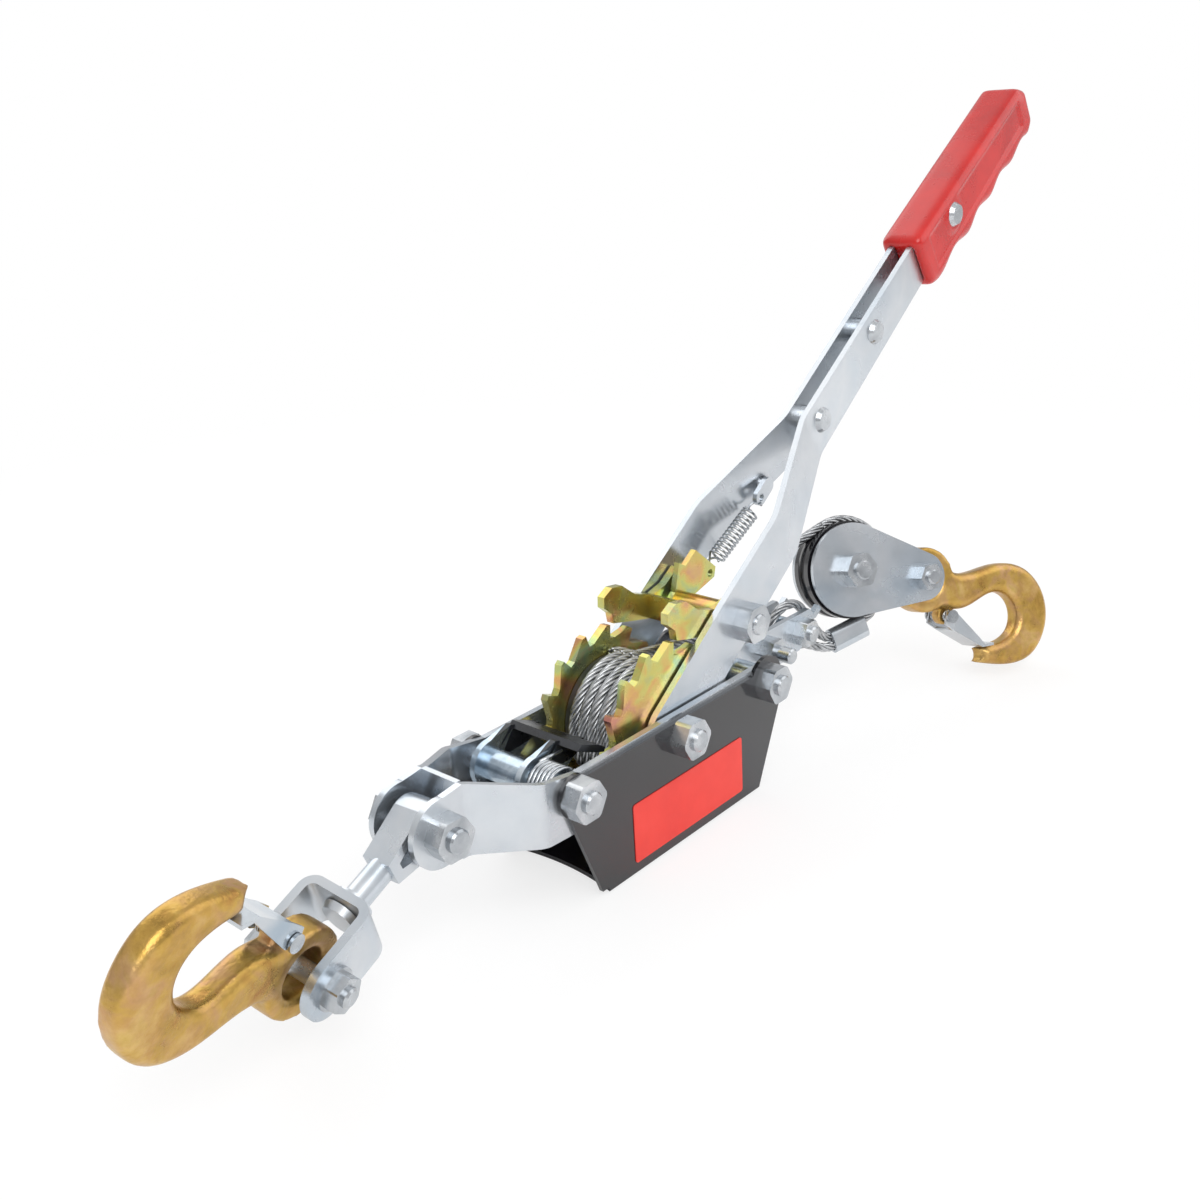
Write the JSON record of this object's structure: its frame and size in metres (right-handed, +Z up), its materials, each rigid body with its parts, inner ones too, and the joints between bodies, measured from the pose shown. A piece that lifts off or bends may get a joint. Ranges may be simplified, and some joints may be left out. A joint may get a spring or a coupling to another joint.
{
  "type": "come along winch",
  "caption": "Hand ratchet cable puller with a toothed drum, a long gripped handle, sprung pawls, a pulley block and two latched forged hooks.",
  "frame": {"origin": "centre of the housing's flat underside, straight below the drum axle", "axes": "+X along the pull line from the front hook towards the pulley block, +Y across the frame away from the nuts, +Z up"},
  "size_m": [0.6393, 0.1163, 0.3098],
  "materials": {
    "bright_zinc": "satin bright zinc plate",
    "yellow_zinc": "satin yellow zinc plate with iridescent patches",
    "black_gloss_paint": "gloss black paint",
    "red_print": "satin red label",
    "red_vinyl": "glossy dipped vinyl",
    "steel_rope": "twisted galvanised wire",
    "spring_steel": "plated spring wire"
  },
  "bodies": {
    "frame": {"side_plate_near": "bright_zinc", "side_plate_far": "bright_zinc", "housing": "black_gloss_paint", "label_panel": "red_print", "strap_web": "bright_zinc", "front_bolt": "bright_zinc", "axle_bolt": "bright_zinc", "rear_bolt": "bright_zinc", "frame_nuts": "bright_zinc", "strap_bolt": "bright_zinc", "strap_nut": "bright_zinc", "rear_spacer": "bright_zinc", "anchor_plate_near": "bright_zinc", "anchor_plate_far": "bright_zinc", "anchor_bolts": "bright_zinc", "anchor_nuts": "bright_zinc", "anchor_bush": "bright_zinc", "ferrule": "bright_zinc", "rope_eye": "steel_rope", "rope_lower": "steel_rope", "rope_upper": "steel_rope", "hold_collar": "bright_zinc", "hold_spring": "spring_steel"},
    "handle": {"arm_near": "bright_zinc", "arm_far": "bright_zinc", "arm_rivets": "bright_zinc", "arm_spacers": "bright_zinc", "grip": "red_vinyl", "grip_rivet": "bright_zinc", "pawl_bolt": "bright_zinc", "pawl_nut": "bright_zinc", "spring_tab": "bright_zinc", "pawl_spring": "spring_steel"},
    "drive_pawl": {"drive_pawl": "yellow_zinc"},
    "drum": {"wheel_near": "yellow_zinc", "wheel_far": "yellow_zinc", "drum_core": "bright_zinc", "rope_pack": "steel_rope"},
    "hold_pawl": {"hold_pawl": "black_gloss_paint", "hold_tube": "bright_zinc"},
    "swivel_eye": {"swivel_eye": "bright_zinc"},
    "clevis": {"clevis": "bright_zinc", "clevis_bolt": "bright_zinc", "clevis_nut": "bright_zinc"},
    "front_hook": {"front_hook": "yellow_zinc", "front_latch_pin": "bright_zinc"},
    "front_latch": {"front_latch": "bright_zinc", "front_latch_spring": "spring_steel"},
    "block": {"cheek_near": "bright_zinc", "cheek_far": "bright_zinc", "sheave_bolt": "bright_zinc", "sheave_nut": "bright_zinc", "hook_bolt": "bright_zinc", "hook_nut": "bright_zinc", "rope_wrap": "steel_rope"},
    "sheave": {"sheave": "black_gloss_paint"},
    "rear_hook": {"rear_hook": "yellow_zinc", "rear_latch_pin": "bright_zinc"},
    "rear_latch": {"rear_latch": "bright_zinc", "rear_latch_spring": "spring_steel"}
  },
  "joints": [
    {"name": "handle_swing", "type": "hinge", "parent": "frame", "child": "handle", "pos_m": [0, 0, 0.052], "axis": [0, -1, 0], "range_deg": [0, 60]},
    {"name": "drive_pawl_swing", "type": "hinge", "parent": "handle", "child": "drive_pawl", "pos_m": [0.0558, 0, 0.0862], "axis": [0, 1, 0], "range_deg": [-4, 25], "stiffness_Nm_per_rad": 0.02, "deforming": ["pawl_spring"]},
    {"name": "drum_turn", "type": "hinge", "parent": "frame", "child": "drum", "pos_m": [0, 0, 0.052], "axis": [0, 1, 0], "range_deg": [0, 720]},
    {"name": "block_travel", "type": "slide", "parent": "frame", "child": "block", "axis": [1, 0, 0], "range_m": [0, 0.176], "deforming": ["rope_lower", "rope_upper"]},
    {"name": "sheave_turn", "type": "hinge", "parent": "block", "child": "sheave", "pos_m": [0.1682, -0.0088, 0.0743], "axis": [0.391, 0.8782, -0.2756], "range_deg": [0, 380]},
    {"name": "hold_pawl_swing", "type": "hinge", "parent": "frame", "child": "hold_pawl", "pos_m": [-0.0699, 0, 0.0536], "axis": [0, -1, 0], "range_deg": [-3, 20], "stiffness_Nm_per_rad": 0.02, "deforming": ["hold_spring"]},
    {"name": "eye_swing", "type": "hinge", "parent": "frame", "child": "swivel_eye", "pos_m": [-0.126, 0, 0.0577], "axis": [0, 1, 0], "range_deg": [-30, 60]},
    {"name": "clevis_swivel", "type": "hinge", "parent": "swivel_eye", "child": "clevis", "pos_m": [-0.16506, -0.00342, 0.04265], "axis": [-0.93, -0.0814, -0.3584], "continuous": true},
    {"name": "front_hook_swing", "type": "hinge", "parent": "clevis", "child": "front_hook", "pos_m": [-0.1911, -0.0057, 0.03261], "axis": [0.1709, -0.959, -0.2259], "range_deg": [-40, 90]},
    {"name": "front_latch_swing", "type": "hinge", "parent": "front_hook", "child": "front_latch", "pos_m": [-0.20273, -0.01378, 0.05815], "axis": [0.1709, -0.959, -0.2259], "range_deg": [0, 25], "stiffness_Nm_per_rad": 0.01, "springref_deg": -11.46},
    {"name": "rear_hook_swing", "type": "hinge", "parent": "block", "child": "rear_hook", "pos_m": [0.20703, -0.02977, 0.06257], "axis": [-0.391, -0.8782, 0.2756], "range_deg": [-30, 60]},
    {"name": "rear_latch_swing", "type": "hinge", "parent": "rear_hook", "child": "rear_latch", "pos_m": [0.21778, -0.04214, 0.0384], "axis": [-0.391, -0.8782, 0.2756], "range_deg": [0, 25], "stiffness_Nm_per_rad": 0.01, "springref_deg": -11.46}
  ],
  "couplings": [
    {"joint": "block_travel", "follows": "drum_turn", "m_per_rad": 0.0139},
    {"joint": "sheave_turn", "follows": "drum_turn", "ratio": 0.51866}
  ]
}
